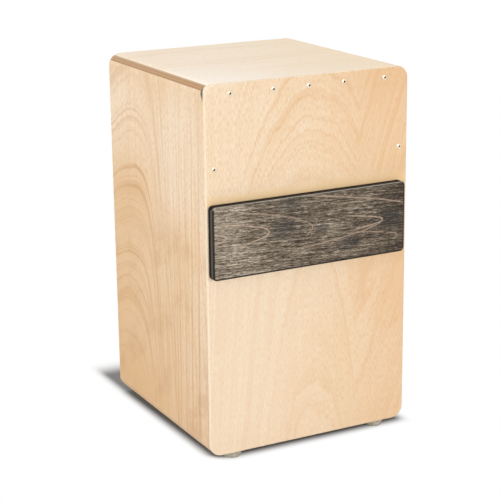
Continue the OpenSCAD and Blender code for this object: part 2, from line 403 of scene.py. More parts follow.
def side_rings(g, peak_y, seed, ragged):
    """Nested arches towards the back, whose legs run down as straight lines at the front."""
    peak_z = 400
    lean = 0.085
    arch_reach = 85.0
    leg_slope = 4.7
    peak = (peak_z - g.z) * lean + peak_y
    behind = g.math("MAXIMUM", g.y - peak, 0.0)
    ahead = g.math("MAXIMUM", peak - g.y, 0.0)
    arch = g.math("MINIMUM", ahead, arch_reach)
    squared = arch * arch
    wave = (g.noise(g.y * 0.012, g.z * 0.007, seed, detail=1.0) - 0.5) * 26
    field = g.z + squared * (squared * 0.0000016 + 0.0048) + (ahead - arch) * leg_slope
    field = field + behind * behind * 0.006 + wave + ragged
    clear = g.step(g.noise(g.y * 0.012, g.z * 0.008, seed + 7.0), 0.3, 0.6)
    arches = ring_lines(g, field, spacing=9.0, crisp=0.03) * (clear * 0.5 + 0.65)
    legs = ring_lines(g, g.y + g.z * 0.03 + wave * 0.1 + ragged * 0.2, spacing=5.0, crisp=0.05)
    at_front = g.step(ahead, 60, 110)
    rings = arches * (1.0 - at_front * 0.65) + legs * at_front * 0.48
    near_top = g.step(g.z, 330, 450)
    low_down = g.step(g.z, 330, 120)
    return rings * (1.0 - near_top * 0.65 + low_down * 0.8)


def side_tint(g, face, seed):
    """Tan low down, towards the back and along the top, with darker feathers low down. Low down the tan is
    also painted shade.
    """
    tan_from = g.z + g.step(g.y, 20, -130) * 35
    # Tan that deepens towards the floor: the veneer's tone together with painted shade
    low_tan_and_shade = g.step(tan_from, 410, 290) * 0.36
    low_tan_and_shade = low_tan_and_shade + g.step(g.z, 250, 120) * 0.1 + g.step(g.z, 120, 30) * 0.2
    back_tan = (g.step(g.y, -150, 110) - 0.55) * g.step(g.z, 420, 330) * 0.6
    top_tan = g.step(g.z, 440, 490) * (g.step(g.y, -60, 130) * 0.08 + 0.1)
    face = g.mix(low_tan_and_shade + back_tan + top_tan + 0.09, face, rgb("d9af7a"))
    feather = g.noise(g.y * 0.016 + g.z * 0.006, g.z * 0.016, seed + 9.0, detail=3.0, roughness=0.6)
    low_down = g.step(g.z, 350, 270)
    return g.mix(g.step(feather, 0.45, 0.75) * low_down * 0.4, face, rgb("bd8a54"))


def side_material(name, node, peak_y, seed):
    """Upright grain in arches with one thin dark vein, the plies on the open edges, and painted shade
    under the lower rounding and in the gap at the upper front corner.
    """
    g = Graph(name)
    low, high = box_mm(node)
    depth = g.x - low.x if low.x < 0 else high.x - g.x
    ragged = (g.noise(g.y * 0.1, g.z * 0.03, seed + 3.0, detail=3.0) - 0.5) * 7
    rings = side_rings(g, peak_y, seed, ragged)
    face, relief = veneer_face(g, g.y, g.z, rings, SIDE_COLOURS, seed)
    face = side_tint(g, face, seed)
    vein_ahead = 93
    vein_top = 484
    vein_lean = 0.087
    off_vein = g.y - peak_y + vein_ahead + (vein_top - g.z) * vein_lean
    from_vein = g.math("ABSOLUTE", off_vein + ragged * 0.3)
    face = g.mix(g.step(from_vein, 1.5, 0.2) * 0.22, face, rgb("8f6a45"))
    colour = plywood(g, face, depth, PANEL_PLIES, core_from=2.3, core_to=8.1)
    # Painted shade on the lower rounding, where the surface turns under towards the floor
    turned_under_shade = g.step(g.split(g.normal)[2], -0.02, -0.4)
    colour = g.mix(turned_under_shade * 0.15, colour, rgb("6e4c2c"))
    # Painted shade in the gap behind the plate's upper left corner
    return lacquered(g, painted_gap_shade(g, colour), relief)


def arch_field(g, peak_x, left_bend, right_bend, trough, rise):
    """A height that is level along nested arches, with a trough on their right and a rise after it."""
    offset = g.x - peak_x
    left = g.math("MINIMUM", offset, 0.0)
    right = g.math("MINIMUM", g.math("MAXIMUM", offset, 0.0), trough)
    beyond = g.math("MAXIMUM", offset - trough, 0.0)
    return g.z + left * left * left_bend + right * right * right_bend - beyond * rise


def plate_rings(g):
    """The plate's rings: broad arches above the rattle board, and tall narrow ones below it."""
    wave = (g.noise(g.x * 0.02, g.z * 0.012, 2.0) - 0.5) * 30
    ragged = (g.noise(g.x * 0.08, g.z * 0.05, 4.0, detail=3.0) - 0.5) * 14
    feathered = (g.noise(g.x * 0.6, g.z * 0.08, 12.0) - 0.5) * 5
    broad = arch_field(g, peak_x=4.0, left_bend=0.0137, right_bend=0.013, trough=71.0, rise=3.0)
    broad = broad + wave + ragged + feathered
    bands = wide_bands(g, broad, spacing=26.0, seed=2.5)
    broad = ring_lines(g, broad, spacing=13.0) * 0.65 + bands * 0.3
    above_board = g.step(g.z, 330, 380)
    off_left_edge = g.step(g.x, -130, -60)
    broad = broad * above_board * off_left_edge
    low_wave = (g.noise(g.x * 0.03, g.z * 0.006, 9.0) - 0.5) * 80
    tall = arch_field(g, peak_x=10.0, left_bend=0.045, right_bend=0.06, trough=60.0, rise=2.5)
    tall = tall + low_wave + ragged * 2.0
    stripes = wide_bands(g, tall, spacing=70.0, seed=4.5)
    tall = ring_lines(g, tall, spacing=32.0) * 0.4 + stripes * 0.2
    below_board = g.step(g.z, 330, 270)
    tall = tall * below_board
    clear = g.step(g.noise(g.x * 0.02, g.z * 0.012, 6.0), 0.15, 0.6)
    return (broad + tall) * (clear * 0.7 + 0.3)


def plate_tint(g, face):
    """Warm on the right and at the top, pale at the lower left, and a painted golden glow of light just
    above the rattle board.
    """
    blush = g.step(g.x, -20, 170) * (g.noise(g.x * 0.012, g.z * 0.01, 21.0) + 0.3)
    face = g.mix(blush * (0.64 - g.step(g.z, 200, 80) * 0.16), face, rgb("edba83"))
    feather = g.noise(g.x * 0.05 - g.z * 0.02, g.z * 0.012, 25.0, detail=4.0, roughness=0.65)
    on_right = g.step(g.x, 30, 110)
    below_board = g.step(g.z, 330, 270)
    off_lower_edge = g.step(g.z, 90, 170)
    feather = g.step(feather, 0.48, 0.66) * on_right * below_board * off_lower_edge
    face = g.mix(feather * 0.35, face, rgb("e3a96c"))
    lower_left = g.step(g.z, 330, 250) * g.step(g.x, 110, -130)
    face = g.mix(lower_left * 0.4, face, rgb("fbe8d0"))
    upper_right = g.step(g.z, 430, 500) * g.step(g.x, -80, 150)
    face = g.mix(upper_right * 0.3, face, rgb("e3ab6d"))
    # Painted light: a golden glow just above the rattle board, standing for light reflected there
    painted_glow_reach = 17
    board_top = box_mm("rattle_board")[1].z
    above_board = g.step(g.z, board_top - 3, board_top) * g.step(g.z, board_top + painted_glow_reach, board_top)
    return g.mix(above_board * 0.8, face, rgb("ffd89e"))


def plate_material():
    """Upright flecked grain, and the thin plies on the plate's edge."""
    g = Graph("plate_veneer")
    front = box_mm("striking_plate")[0].y
    face, relief = veneer_face(g, g.x, g.z, plate_rings(g), PLATE_COLOURS, seed=3.0)
    colour = plywood(g, plate_tint(g, face), g.y - front, THIN_PLIES, core_from=0.3, core_to=3.9)
    return lacquered(g, colour, relief)


def back_material():
    """Upright veneer with wide arches, and the plies in the sound hole's edge."""
    g = Graph("back_veneer")
    back = box_mm("back_panel")[1].y
    offset = g.x + 30 - (g.z - 250) * 0.1
    wave = (g.noise(g.x * 0.02, g.z * 0.008, 31.0) - 0.5) * 50
    rings = ring_lines(g, g.z + offset * offset * 0.012 + wave, spacing=36.0) * 0.5
    face, relief = veneer_face(g, g.x, g.z, rings, BACK_COLOURS, seed=33.0)
    colour = plywood(g, face, back - g.y, BACK_PLIES, core_from=1.2, core_to=3.9)
    return lacquered(g, colour, relief)


def base_material():
    """Plain veneer whose grain runs from side to side."""
    g = Graph("base_veneer")
    low = box_mm("base_panel")[0].z
    wave = g.noise(g.x * 0.006, g.y * 0.02, 41.0) * 60
    rings = ring_lines(g, g.y + wave, spacing=30.0) * 0.4
    face, relief = veneer_face(g, g.y, g.x, rings, BASE_COLOURS, seed=43.0)
    colour = plywood(g, face, g.z - low, PANEL_PLIES, core_from=1.6, core_to=8.1)
    return lacquered(g, colour, relief)


def batten_material(name, across, along, seed):
    """Raw sawn softwood: alternate pale and brown growth rings, and saw marks."""
    g = Graph(name)
    axes = {"x": g.x, "y": g.y, "z": g.z}
    width = axes.pop(across)
    length = axes.pop(along)
    depth = axes.popitem()[1]
    wave = g.noise(width * 0.05, length * 0.01, seed) * 5
    rings = ring_lines(g, width + depth * 0.4 + wave, spacing=3.4)
    streak, fleck = fibre(g, width + depth, length, seed)
    saw = g.noise(width * 0.1, length * 1.2, depth * 0.1, detail=1.0)
    colour = g.mix(streak * 0.6, rgb("ecd3ab"), rgb("dfba88"))
    colour = g.mix(rings * 0.5, colour, rgb("c08d55"))
    colour = g.mix(fleck * 0.3, colour, rgb("a97848"))
    return g.finish(colour, 0.72 - streak * 0.12, streak * 0.5 + saw * 0.5, depth=0.15)


def loop_lines(g):
    """Thin broken ring lines on the stained board, in loops whose round nose is on the right."""
    lean = 0.033
    wave = (g.noise(g.x * 0.025, g.z * 0.06, 5.0) - 0.5) * 14
    ragged = (g.noise(g.x * 0.3, g.z * 0.6, 8.0, detail=4.0, roughness=0.7) - 0.5) * 3.4
    lines = 0.0
    for nose_x, nose_z, bend, upper, lower, strength in LOOPS:
        off_axis = g.z - nose_z + (g.x - nose_x) * lean
        slope = off_axis * (2 * bend)
        steep = g.math("SQRT", slope * slope + 1.0)
        away = g.math("ABSOLUTE", (g.x + off_axis * off_axis * bend + wave - nose_x) / steep + ragged)
        leg = g.step(off_axis, -1.0, 1.0) * (upper - lower) + lower
        within = g.step((nose_x - g.x) / (leg + 3.0), 1.1, 0.6)
        lines = g.math("MAXIMUM", g.step(away, 1.3, 0.3) * within * strength, lines)
    unbroken = g.step(g.noise(g.x * 0.06, g.z * 0.25, 7.0, detail=3.0), 0.28, 0.48)
    return lines * unbroken


def stain_clouds(g):
    """1 in the middle of each dark cloud of the stain, fading out with ragged edges."""
    ragged = (g.noise(g.x * 0.07, g.z * 0.35, 23.0, detail=4.0, roughness=0.75) - 0.5) * 3.2
    clouds = 0.0
    for x, z, width, height in CLOUDS:
        across = (g.x - x) / width
        up = (g.z - z) / height
        clouds = g.math("MAXIMUM", g.step(across * across + up * up + ragged, 1.3, 0.0), clouds)
    return clouds


def stained_edges(g, colour):
    """Black-brown edges and rim, painted light on the left end, and a painted highlight on the upper
    arris.
    """
    low, high = box_mm("rattle_board")
    out_x, out_y, out_z = g.split(g.normal)
    off_face = g.step(g.math("ABSOLUTE", out_y), 0.98, 0.8)
    from_end = g.math("MINIMUM", g.x - low.x, high.x - g.x)
    from_rim = g.math("MINIMUM", from_end, g.z - low.z)
    at_edge = g.math("MAXIMUM", off_face, g.step(from_rim, 3.2, 2.0) * 0.95)
    colour = g.mix(at_edge, colour, rgb("18110b"))
    # Painted light: the end that faces left is greyer and lighter, as if lit
    lit_left_end = g.step(out_x, -0.9, -0.98)
    colour = g.mix(lit_left_end, colour, rgb("4b433a"))
    # Painted highlight along the upper arris, where it catches the light
    arris_highlight = g.step(out_z, 0.2, 0.5) * g.step(out_z, 0.9, 0.75)
    arris_highlight = arris_highlight * g.step(out_y, -0.2, -0.4) * g.step(out_x, 0.35, 0.1)
    return g.mix(arris_highlight, colour, rgb("a8a198"))


def stained_material():
    """Grey-brown stain: fine grain, pores, dark clouds and pale loops."""
    g = Graph("stained_board")
    leaning = g.z + g.x * 0.05
    dash = g.noise(g.x * 0.1, leaning * 0.9, 13.0, detail=4.0, roughness=0.85)
    streak = g.noise(g.x * 0.016, leaning * 0.35, 15.0, detail=3.0, roughness=0.7)
    grain = dash * 0.7 + streak * 0.4 - 0.05
    pore = g.noise(g.x * 0.22, leaning * 0.9, 17.0)
    patch = g.noise(g.x * 0.02, g.z * 0.05, 19.0)
    left_light = g.step(g.x, -30, -130) * 0.05
    right_dark = g.step(g.x, 30, 140) * 0.036
    shade = left_light - right_dark + (patch - 0.5) * 0.12 - 0.008
    colour = g.ramp(grain + shade, [
        (0.38, rgb("18120b")), (0.46, rgb("4e4132")), (0.54, rgb("8e806e")), (0.64, rgb("decfb9")),
    ])
    colour = g.mix(g.step(pore, 0.55, 0.68) * 0.7, colour, rgb("241d16"))
    colour = g.mix(stain_clouds(g) * 0.55, colour, rgb("26282b"))
    colour = g.mix(loop_lines(g) * 0.85, colour, rgb("c9ae98"))
    colour = stained_edges(g, colour)
    g.shader.inputs["Specular IOR Level"].default_value = 0.25
    return g.finish(colour, 0.7 - grain * 0.15, grain - pore * 0.5, depth=0.15)


def backing_material():
    """Matt black foam sheet."""
    g = Graph("black_backing")
    grain = g.noise(g.x * 2.5, g.y * 2.5, g.z * 2.5, detail=3.0)
    colour = g.ramp(grain, [(0.3, rgb("080706")), (0.7, rgb("151210"))])
    g.shader.inputs["Specular IOR Level"].default_value = 0.15
    return g.finish(colour, 0.85 - grain * 0.15, grain, depth=0.2)


def metal_material(name, colours, rough, along="x", pit=None):
    """Drawn or rolled metal with fine lines along one axis, a little tarnish, and dirt with painted shade
    beyond y = pit.
    """
    g = Graph(name)
    dark, light = [rgb(code) for code in colours]
    axes = {"x": (g.x * 0.05, g.y * 4, g.z * 4), "z": (g.x * 4, g.y * 4, g.z * 0.05)}
    lines = g.noise(*axes[along])
    tarnish = g.noise(g.x * 0.15, g.y * 0.15, g.z * 0.15, detail=3.0)
    colour = g.ramp(lines * 0.5 + tarnish * 0.5, [(0.3, dark), (0.7, light)])
    g.shader.inputs["Metallic"].default_value = 1.0
    if pit is not None:
        # Dark brown beyond y = pit: dirt together with painted shade in the screw's recess
        recess_dirt_and_shade = g.step(g.y, pit, pit + 0.4)
        colour = g.mix(recess_dirt_and_shade, colour, rgb("5a3d22"))
        g.feed(g.shader.inputs["Metallic"], 1.0 - recess_dirt_and_shade)
    return g.finish(colour, rough + lines * 0.12, lines, depth=0.01)


def foot_material():
    """Pale grey rubber, slightly mottled."""
    g = Graph("foot_rubber")
    mottle = g.noise(g.x * 0.4, g.y * 0.4, g.z * 0.4, detail=4.0)
    grit = g.noise(g.x * 3, g.y * 3, g.z * 3)
    colour = g.ramp(mottle, [(0.3, rgb("988f80")), (0.7, rgb("c6beb0"))])
    return g.finish(colour, 0.5 + grit * 0.15, grit, depth=0.05)


def tape_material(name, pile):
    """Black woven tape under its pile, which is hooks in rows or tangled loops."""
    g = Graph(name)
    if pile == "hooks":
        row_gap = 0.6
        rows = g.math("SINE", g.x * (math.pi / row_gap)) * g.math("SINE", g.z * (math.pi / row_gap))
        relief = rows * 0.5 + 0.5
    else:
        relief = g.noise(g.x * 2.2, g.y * 2.2, g.z * 2.2, detail=3.0, roughness=0.7)
    colour = g.ramp(relief, [(0.2, rgb("0b0b0b")), (0.8, rgb("2c2b2a"))])
    g.shader.inputs["Sheen Weight"].default_value = 0.35
    return g.finish(colour, 0.8 - relief * 0.1, relief, depth=0.4)


# Shapes


def add_piece(name, shape, material, node):
    """Makes a piece of a bmesh. It stands for a CAD node, with that node's body, and takes the given
    material.
    """
    bmesh.ops.recalc_face_normals(shape, faces=shape.faces)
    mesh = bpy.data.meshes.new(name)
    shape.to_mesh(mesh)
    shape.free()
    # Normals that come with the CAD mesh don't suit the new shape
    if "custom_normal" in mesh.attributes:
        mesh.attributes.remove(mesh.attributes["custom_normal"])
    mesh.shade_smooth()
    mesh.set_sharp_from_angle(angle=SMOOTH_ANGLE)
    mesh.materials.clear()
    mesh.materials.append(material)
    piece = bpy.data.objects.new(name, mesh)
    bpy.context.scene.collection.objects.link(piece)
    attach(piece, NODES[node]["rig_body"])
    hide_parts(node)


def softened(node, width, material, where=None):
    """A copy of a CAD node with rounded arrises: all of them, or those whose middle passes a test."""
    shape = bmesh.new()
    shape.from_mesh(NODES[node].data)
    bmesh.ops.remove_doubles(shape, verts=shape.verts, dist=WELD)
    bmesh.ops.dissolve_limit(shape, angle_limit=FLAT_ANGLE, verts=shape.verts, edges=shape.edges)
    arrises = []
    for edge in shape.edges:
        middle = (edge.verts[0].co + edge.verts[1].co) / 2
        sharp = len(edge.link_faces) == 2 and edge.calc_face_angle() > ARRIS_ANGLE
        if sharp and (where is None or where(middle)):
            arrises.append(edge)
    bmesh.ops.bevel(
        shape, geom=arrises, offset=width * MM, offset_type="OFFSET", segments=3,
        profile=0.5, affect="EDGES", clamp_overlap=False,
    )
    add_piece(node + "_finished", shape, material, node)


def join_rings(shape, ring, following):
    """A band of faces between two closed rings of as many points."""
    for i in range(len(ring)):
        shape.faces.new((ring[i - 1], ring[i], following[i], following[i - 1]))


def close_face(shape, outline, openings):
    """A flat face inside an outline of points, with openings left in it."""
    edges = []
    for loop in (outline, *openings):
        for i in range(len(loop)):
            pair = (loop[i - 1], loop[i])
            edges.append(shape.edges.get(pair) or shape.edges.new(pair))
    bmesh.ops.triangle_fill(shape, use_beauty=True, edges=edges)


def round_outline(width, height, radii):
    """Points (x, z) round a rectangle with points along its straight runs and round corners.

    The corners' radii start at the upper right, and go on to the upper left.
    """
    corner_steps = 12
    run_steps = 24
    corners = []
    for quarter, (sx, sz) in enumerate(((1, 1), (-1, 1), (-1, -1), (1, -1))):
        radius = radii[quarter]
        cx = sx * (width / 2 - radius)
        cz = sz * (height / 2 - radius)
        arc = []
        for step in range(corner_steps + 1):
            angle = math.pi / 2 * (quarter + step / corner_steps)
            arc.append((cx + radius * math.cos(angle), cz + radius * math.sin(angle)))
        corners.append(arc)
    points = []
    for arc, following in zip(corners, corners[1:] + corners[:1]):
        points += arc
        for step in range(1, run_steps):
            share = step / run_steps
            points.append(tuple((1 - share) * p + share * q for p, q in zip(arc[-1], following[0])))
    return points


def edge_profile(low_y, high_y, arris_r):
    """A board's edge from back to front as (inset, y): a straight run, an arris and a strip of face."""
    arc_steps = 6
    face_strip = 0.3
    profile = [(0.0, high_y)]
    for step in range(arc_steps + 1):
        angle = math.pi / 2 * step / arc_steps
        profile.append((arris_r * (1 - math.cos(angle)), low_y + arris_r * (1 - math.sin(angle))))
    profile.append((arris_r + face_strip, low_y))
    return profile


def hole_circle(shape, x, y, z, radius):
    """Points round a hole along Y, where it meets a face."""
    steps = 24
    points = []
    for step in range(steps):
        angle = 2 * math.pi * step / steps
        place = Vector((x + radius * math.cos(angle), y, z + radius * math.sin(angle)))
        points.append(shape.verts.new(place * MM))
    return points


def round_board(low, high, corner_r, arris_r, square_r=None, holes=()):
    """An upright board that faces -Y, with round corners, a round front arris and round holes.

    Its upper left corner may have a smaller radius at the back, square_r. A hole is (x, z, radius).
    Sizes are in millimetres.
    """
    least_r = 0.5
    middle = (low + high) / 2
    size = high - low
    shape = bmesh.new()
    rings = []
    for inset, y in edge_profile(low.y, high.y, arris_r):
        radii = [max(corner_r - inset, least_r)] * 4
        if square_r is not None:
            forward = (high.y - y) / size.y
            radii[1] = max(square_r + (corner_r - square_r) * forward - inset, least_r)
        outline = round_outline(size.x - 2 * inset, size.z - 2 * inset, radii)
        rings.append([
            shape.verts.new(Vector((middle.x + x, y, middle.z + z)) * MM) for x, z in outline
        ])
    back_circles = []
    front_circles = []
    for x, z, radius in holes:
        back_circles.append(hole_circle(shape, x, high.y, z, radius))
        front_circles.append(hole_circle(shape, x, low.y, z, radius))
    for ring, following in (*zip(rings, rings[1:]), *zip(back_circles, front_circles)):
        join_rings(shape, ring, following)
    close_face(shape, rings[0], back_circles)
    close_face(shape, rings[-1], front_circles)
    return shape


def solids(node):
    """The lowest and highest corner of each separate solid of a node, in millimetres."""
    shape = bmesh.new()
    shape.from_mesh(NODES[node].data)
    bmesh.ops.remove_doubles(shape, verts=shape.verts, dist=WELD)
    waiting = set(shape.verts)
    boxes = []
    while waiting:
        group = [waiting.pop()]
        for vert in group:
            for edge in vert.link_edges:
                other = edge.other_vert(vert)
                if other in waiting:
                    waiting.remove(other)
                    group.append(other)
        points = np.array([vert.co for vert in group]) / MM
        boxes.append((Vector(points.min(0)), Vector(points.max(0))))
    shape.free()
    return sorted(boxes, key=lambda box: (round(box[0].z), box[0].x))


def add_cross_screw(shape, low, high, face_y):
    """A domed screw with a cross recess, inside a box, whose head sits on a face at y = face_y.

    Its rings run from the recess over the dome and down the shank. Each is (wing, valley, y): its radius
    along the cross's wings and between them, as shares of the head's, and its y, or None on the dome.
    """
    steps = 32
    recess_depth = 1.0
    middle = (low + high) / 2
    head_r = (high.x - low.x) / 2
    shank_r = head_r / 2
    rise = face_y - low.y
    recess = [(0.35, 0.25, face_y + recess_depth), (0.62, 0.4, face_y - rise * 0.45), (0.68, 0.45, None)]
    dome = [(share, share, None) for share in (0.78, 0.86, 0.95, 1.0)]
    shank = [(0.5, 0.5, face_y + shank_r), (0.5, 0.5, high.y - shank_r * 2)]
    rings = []
    for wing, valley, y in recess + dome + shank:
        ring = []
        for step in range(steps):
            angle = 2 * math.pi * step / steps
            share = valley + (wing - valley) * abs(math.cos(2 * angle)) ** 4
            dome_y = face_y - rise * (1 - share * share)
            place = Vector((math.cos(angle) * share * head_r, 0.0, math.sin(angle) * share * head_r))
            place += Vector((middle.x, dome_y if y is None else y, middle.z))
            ring.append(shape.verts.new(place * MM))
        rings.append(ring)
    for ring, following in zip(rings, rings[1:]):
        join_rings(shape, ring, following)
    shape.faces.new(rings[0])
    tip = shape.verts.new(Vector((middle.x, high.y, middle.z)) * MM)
    for i in range(steps):
        shape.faces.new((rings[-1][i - 1], rings[-1][i], tip))


def rods(node, across):
    """The start, the end and the radius of each rod of a node, in millimetres.

    The rods lie side by side along the axis across, "x", "y" or "z".
    """
    least_gap = 1.0
    column = "xyz".index(across)
    points = np.array([v.co for v in NODES[node].data.vertices]) / MM
    points = points[np.argsort(points[:, column])]
    gaps = np.where(np.diff(points[:, column]) > least_gap)[0] + 1
    found = []
    for rod in np.split(points, gaps):
        middle = (rod.min(0) + rod.max(0)) / 2
        axis = np.linalg.svd(rod - rod.mean(0), full_matrices=False)[2][0]
        axis = axis * np.sign(axis[np.argmax(abs(axis))])
        along = (rod - middle) @ axis
        out = np.linalg.norm((rod - middle) - np.outer(along, axis), axis=1)
        found.append((middle + axis * along.min(), middle + axis * along.max(), out.max()))
    return found


def add_coil(shape, start, end, outer_r, wire_d, pitch):
    """A close coil of wire from a start to an end, in millimetres."""
    turn_steps = 9
    sides = 5
    length = np.linalg.norm(end - start)
    axis = (end - start) / length
    side = np.cross(axis, (0.0, 1.0, 0.0))
    side /= np.linalg.norm(side)
    other = np.cross(axis, side)
    helix_r = outer_r - wire_d / 2
    count = int((length - wire_d) / pitch * turn_steps)
    previous = None
    for i in range(count + 1):
        angle = 2 * math.pi * i / turn_steps
        out = math.cos(angle) * side + math.sin(angle) * other
        centre = start + axis * (wire_d / 2 + pitch * i / turn_steps) + out * helix_r
        ring = []
        for k in range(sides):
            around = 2 * math.pi * k / sides
            offset = (math.cos(around) * out + math.sin(around) * axis) * wire_d / 2
            ring.append(shape.verts.new((centre + offset) * MM))
        if previous is None:
            shape.faces.new(ring)
        else:
            join_rings(shape, previous, ring)
        previous = ring
    shape.faces.new(previous)


def coils(node, across, wire_d, pitch):
    """Coils of wire in place of the plain rods of a node."""
    shape = bmesh.new()
    for start, end, outer_r in rods(node, across):
        add_coil(shape, start, end, outer_r, wire_d, pitch)
    return shape


def paired(values):
    """The start and end of each block along an axis: neighbouring levels, two by two."""
    levels = sorted(set(values))
    return [(levels[i], levels[i + 1]) for i in range(0, len(levels), 2)]


def tape_blocks(node):
    """The lowest and highest corner of each plain block of tape of a node, in millimetres."""
    points = np.array([v.co for v in NODES[node].data.vertices]) / MM
    places = np.unique(np.round(points, 3), axis=0)
    low_y = points[:, 1].min()
    high_y = points[:, 1].max()
    blocks = []
    for left, right in paired(places[:, 0]):
        for bottom, top in paired(places[:, 2]):
            blocks.append((Vector((left, low_y, bottom)), Vector((right, high_y, top))))
    return blocks


def inside_corner(x, z, low, high, radius):
    """Draws a point of a rectangle in, where it lies outside the rectangle's round corner."""
    cx = min(max(x, low.x + radius), high.x - radius)
    cz = min(max(z, low.z + radius), high.z - radius)
    away = math.hypot(x - cx, z - cz)
    if away <= radius:
        return x, z
    return cx + (x - cx) * radius / away, cz + (z - cz) * radius / away


def scatter(i, j):
    """A fixed number from 0 to 1 that looks random from one grid place to the next."""
    return math.modf(abs(math.sin(i * 12.9898 + j * 78.233) * 43758.5453))[0]


def rim(grid):
    """The points round a grid's edge, in order."""
    right = [line[-1] for line in grid[1:-1]]
    left = [line[0] for line in grid[1:-1]]
    return grid[0] + right + grid[-1][::-1] + left[::-1]


def tape_sheet(shape, low, high, back_y, reach):
    """A grid of faces with round corners, whose points stand off back_y by uneven shares of a reach."""
    edge_share = 0.55
    least_share = 0.72
    columns = round((high.x - low.x) / TUFT_GAP)
    rows = round((high.z - low.z) / TUFT_GAP)
    grid = []
    for j in range(rows + 1):
        line = []
        for i in range(columns + 1):
            x = low.x + (high.x - low.x) * i / columns
            z = low.z + (high.z - low.z) * j / rows
            x, z = inside_corner(x, z, low, high, TAPE_CORNER_R)
            on_edge = i in (0, columns) or j in (0, rows)
            share = edge_share if on_edge else least_share + (1 - least_share) * scatter(i, j)
            line.append(shape.verts.new(Vector((x, back_y + reach * share, z)) * MM))
        grid.append(line)
    for j in range(rows):
        for i in range(columns):
            shape.faces.new((grid[j][i], grid[j][i + 1], grid[j + 1][i + 1], grid[j + 1][i]))
    return grid


def tape_pieces(node, pile_side):
    """Tape with round corners and an uneven pile towards -Y or +Y, in place of a node's plain blocks."""
    shape = bmesh.new()
    for low, high in tape_blocks(node):
        back_y = low.y if pile_side > 0 else high.y
        flat = tape_sheet(shape, low, high, back_y, 0.0)
        pile = tape_sheet(shape, low, high, back_y, pile_side * (high.y - low.y))
        join_rings(shape, rim(flat), rim(pile))
    return shape


# Sub-parts


def build_panels():
    """The five panels. All but the back panel are softened only at the back, where their edges show."""
    back_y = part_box("seat_panel")[1].y
    side_low, side_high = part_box("left_side_panel")
    near = 0.5 * MM
    end_room = 20 * MM

    def at_back(middle):
        """Whether an arris lies on the back face."""
        return middle.y > back_y - near

    def on_back_run(middle):
        """Whether an arris lies on the back face, away from the seat and the base."""
        return at_back(middle) and side_low.z + end_room < middle.z < side_high.z - end_room

    softened("seat_panel", ARRIS["panel"], seat_material(), at_back)
    softened("base_panel", ARRIS["panel"], base_material(), at_back)
    for side, peak_y, seed in (("left", 83, 51.0), ("right", 20, 61.0)):
        node = side + "_side_panel"
        veneer = side_material(side + "_side_veneer", node, peak_y, seed)
        softened(node, ARRIS["panel"], veneer, on_back_run)
    softened("back_panel", ARRIS["back"], back_material())


def build_plate():
    """The striking plate, and the domed screws in its holes."""
    low, high = box_mm("striking_plate")
    screws = bmesh.new()
    holes = []
    for screw_low, screw_high in solids("plate_screws"):
        middle = (screw_low + screw_high) / 2
        holes.append((middle.x, middle.z, (screw_high.x - screw_low.x) / 2 + SCREW_ROOM))
        add_cross_screw(screws, screw_low, screw_high, low.y)
    plate = round_board(low, high, PLATE_CORNER_R, PLATE_ARRIS_R, PLATE_SQUARE_R, holes)
    add_piece("veneered_plate", plate, plate_material(), "striking_plate")
    zinc = metal_material("plate_screw_zinc", PLATE_ZINC, rough=0.3, pit=low.y - 0.1)
    add_piece("cross_screws", screws, zinc, "plate_screws")


def build_battens():
    """The four battens behind the plate's edges."""
    across = batten_material("batten_across", across="z", along="x", seed=71.0)
    upright = batten_material("batten_upright", across="x", along="z", seed=73.0)
    for node in ("upper_batten", "lower_batten"):
        softened(node, ARRIS["batten"], across)
    for node in ("left_batten", "right_batten"):
        softened(node, ARRIS["batten"], upright)


def build_feet():
    """The four feet, and their washers and screws."""
    zinc = metal_material("screw_zinc", FOOT_ZINC, rough=0.3)
    softened("foot_washers", ARRIS["foot_washer"], zinc)
    softened("foot_screws", ARRIS["foot_screw"], zinc)
    rubber = foot_material()
    for node in ("front_left_foot", "front_right_foot", "rear_left_foot", "rear_right_foot"):
        softened(node, ARRIS["foot"], rubber)


def build_snare():
    """The snare: its bar, wedges, strips, coiled wires and screws."""
    wood = batten_material("snare_wood", across="z", along="x", seed=75.0)
    brass = metal_material("strip_brass", BRASS, rough=0.3)
    steel = metal_material("snare_wire_steel", STEEL, rough=0.2, along="z")
    softened("snare_bar", ARRIS["batten"], wood)
    for side in ("left", "right"):
        softened(side + "_snare_wedge", ARRIS["wedge"], wood)
        softened(side + "_snare_strip", ARRIS["strip"], brass)
        node = side + "_snare_wires"
        wires = coils(node, "x", SNARE_WIRE_D, SNARE_PITCH)
        add_piece(side + "_snare_coils", wires, steel, node)
    zinc = metal_material("snare_screw_zinc", SNARE_ZINC, rough=0.25)
    softened("snare_screws", ARRIS["snare_screw"], zinc)


def build_rattle():
    """The rattle board: its stained face, black backing, clips and coiled wires."""
    low, high = box_mm("rattle_board")
    board = round_board(low, high, BOARD_CORNER_R, BOARD_ARRIS_R)
    add_piece("stained_board", board, stained_material(), "rattle_board")
    softened("rattle_backing", ARRIS["backing"], backing_material())
    brass = metal_material("clip_brass", BRASS, rough=0.3)
    softened("rattle_clips", ARRIS["clip"], brass)
    steel = metal_material("rattle_wire_steel", STEEL, rough=0.2)
    wires = coils("rattle_wires", "z", RATTLE_WIRE_D, RATTLE_PITCH)
    add_piece("rattle_coils", wires, steel, "rattle_wires")


def build_tape():
    """The hook and loop tape of the snare and of the rattle board."""
    hooks = tape_material("hook_tape", "hooks")
    loops = tape_material("loop_tape", "loops")
    add_piece("snare_hooks", tape_pieces("snare_hook_tape", -1), hooks, "snare_hook_tape")
    add_piece("snare_loops", tape_pieces("snare_loop_tape", 1), loops, "snare_loop_tape")
    add_piece("rattle_hooks", tape_pieces("rattle_hook_tape", 1), hooks, "rattle_hook_tape")
    add_piece("rattle_loops", tape_pieces("rattle_loop_tape", -1), loops, "rattle_loop_tape")


# Floor, light and camera


